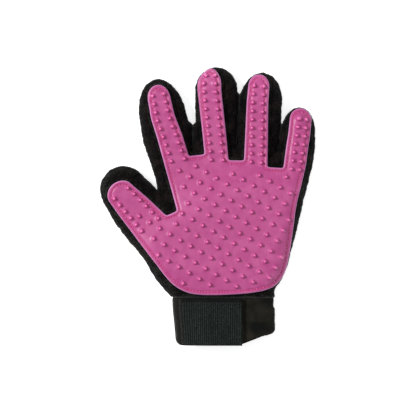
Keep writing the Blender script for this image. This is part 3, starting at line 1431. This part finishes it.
def build_wrist():
    for face, name, cad in ((1, "wrist_sleeve_front", "cuff_front"),
                            (-1, "wrist_sleeve_back", "cuff_back")):
        item = wrist_sheet(name, crowded(CUFF_LEFT, CUFF_RIGHT, 70), WRIST_SEAM,
                           lambda x: mouth_y(x) + 0.8, crowded(0.0, 1.0, 40), face,
                           -SLEEVE_SINK - FABRIC, sleeve_crease, KNIT if face > 0 else MESH)
        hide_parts(cad)
        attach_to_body(item, "hand")
    loop = wrist_sheet("loop_pile_panel", np.arange(LOOP_START, CUFF_RIGHT + 0.01, 0.55), STRAP_TOP,
                       ragged_mouth, crowded(0.0, 1.0, 76, 0.3), 1,
                       tucked_low(LOOP_START, CUFF_RIGHT),
                       loop_top, LOOP)
    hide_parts("loop_panel")
    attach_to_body(loop, "hand")
    anchor = wrist_sheet("strap_sewn_end", crowded(CUFF_LEFT, STRAP_ROOT - 0.35, 22), STRAP_TOP,
                         lambda x: mouth_y(x) + 0.3, np.linspace(0.0, 1.0, 150), 1,
                         tucked_low(CUFF_LEFT, NO_EDGE),
                         anchor_top, BINDING, {"rib": anchor_rib})
    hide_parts("strap_anchor")
    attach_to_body(anchor, "hand")
    ys = np.arange(STRAP_TOP - 1.0, STRAP_BOTTOM + 0.6, -0.95)
    spots = np.column_stack((np.where(np.arange(len(ys)) % 2, -23.4, -21.2), ys))
    f = field(spots)
    at = lean(surface(f, 1, anchor_top(f) + 0.16))
    zigzag = [stitch(start, end, UP, 0.3, 0.1) for start, end in zip(at[:-1], at[1:])]
    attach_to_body(bundle("strap_zigzag", zigzag, BLACK_THREAD), "hand")
    hem = wrist_sheet("opening_hem", crowded(CUFF_LEFT + 0.4, CUFF_RIGHT - 0.4, 90),
                      lambda x: mouth_y(x) + 5.0, lambda x: mouth_y(x) + 0.4,
                      crowded(0.0, 1.0, 14), -1, BACK_LOW, hem_top, BINDING,
                      {"rib": lambda f: 0.5 + 0.5 * np.cos(f.points[:, 0] * 5.0)})
    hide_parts("cuff_hem")
    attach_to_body(hem, "hand")
    band = wrist_sheet("shirred_elastic", crowded(CUFF_LEFT + 10.0, CUFF_RIGHT - 10.0, 110, 0.2),
                       STRAP_TOP - 4.0, MOUTH + 17.0, crowded(0.0, 1.0, 60, 0.2), -1, BACK_LOW,
                       back_elastic_top, ELASTIC, {"rib": back_ribs})
    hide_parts("back_elastic")
    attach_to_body(band, "hand")
    stitches = []
    xs = np.linspace(CUFF_LEFT + 3.0, CUFF_RIGHT - 3.0, 60)
    for above in (4.2, 1.6):
        stitches += run_of_stitches(np.column_stack((xs, mouth_y(xs) + above)), 1.1, 2.3, -1)
    for y in (STRAP_TOP - 4.9, MOUTH + 17.9):
        stitches += run_of_stitches([(CUFF_LEFT + 11.0, y), (CUFF_RIGHT - 11.0, y)], 1.15, 2.3, -1)
    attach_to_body(bundle("cuff_back_stitches", stitches, BLACK_THREAD), "hand")


def build_wrist_seam():
    """Raised seam where the hand is sewn to the sleeve, once on each side."""
    tubes = []
    for face in (1, -1):
        xs = np.linspace(CUFF_LEFT - 0.9, CUFF_RIGHT - 0.1, 420)
        f = field(np.column_stack((xs, np.full(len(xs), WRIST_SEAM - 0.25))))
        path = surface(f, face, np.full(len(xs), -0.35))
        side, up = frames(path)
        tubes.append(sweep(path, side, up, overlocked(xs, *WRIST_SEAM_CORD), 8))
    for x, inward in ((CUFF_LEFT, 0.5), (CUFF_RIGHT, -0.5)):
        ys = np.arange(WRIST_SEAM, float(mouth_y(np.array([x]))[0]) + 0.6, -0.3)
        f = field(np.column_stack((np.full(len(ys), x), ys)))
        path = lean(surface(f, 1, np.zeros(len(ys))))
        path += (inward, 0.0, -0.2)
        side, up = frames(path)
        tubes.append(sweep(path, side, up, overlocked(ys, *WRIST_SEAM_CORD), 8))
    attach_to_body(bundle("wrist_seam", tubes, BLACK_THREAD), "hand")


# ---------------------------------------------------------------- stage

def build_stage():
    scene = bpy.context.scene
    mesh = bpy.data.meshes.new("floor")
    mesh.from_pydata([(x * FLOOR_HALF, y * FLOOR_HALF, FLOOR_TOP)
                      for x, y in ((-1, -1), (1, -1), (1, 1), (-1, 1))], [], [(0, 1, 2, 3)])
    floor = bpy.data.objects.new("floor", mesh)
    scene.collection.objects.link(floor)
    look = Look("pale_floor", Base_Color=(0.93, 0.93, 0.93, 1.0), Roughness=0.9)
    look.shader.inputs["Emission Color"].default_value = WHITE
    look.shader.inputs["Emission Strength"].default_value = 0.7
    mesh.materials.append(look.material)
    scene.world = bpy.data.worlds.new("studio")
    scene.world.use_nodes = True
    background = scene.world.node_tree.nodes["Background"]
    background.inputs["Color"].default_value = WHITE
    background.inputs["Strength"].default_value = 0.2
    for name, place, size, power in LIGHTS:
        light = bpy.data.lights.new(name, "AREA")
        light.size = size
        light.energy = power
        lamp = bpy.data.objects.new(name, light)
        lamp.location = place
        lamp.rotation_euler = (-Vector(place)).to_track_quat("-Z", "Y").to_euler()
        scene.collection.objects.link(lamp)
    camera = bpy.data.cameras.new("camera")
    camera.lens = 200.0
    camera.sensor_width = 36.0
    camera.clip_end = 20.0
    eye = bpy.data.objects.new("camera", camera)
    distance = VIEW_WIDTH * camera.lens / camera.sensor_width
    eye.location = (*VIEW_MIDDLE, VIEW_HEIGHT + distance)
    scene.collection.objects.link(eye)
    scene.camera = eye
    scene.view_settings.view_transform = "Standard"


PLAN, FACES, RIM, SEAM_LINE = hand_plan()
build_fabric(PLAN, FACES, RIM)
build_side_seam(SEAM_LINE)
build_pad()
build_pad_stitches()
build_wrist()
build_wrist_seam()
build_strap()
build_stage()
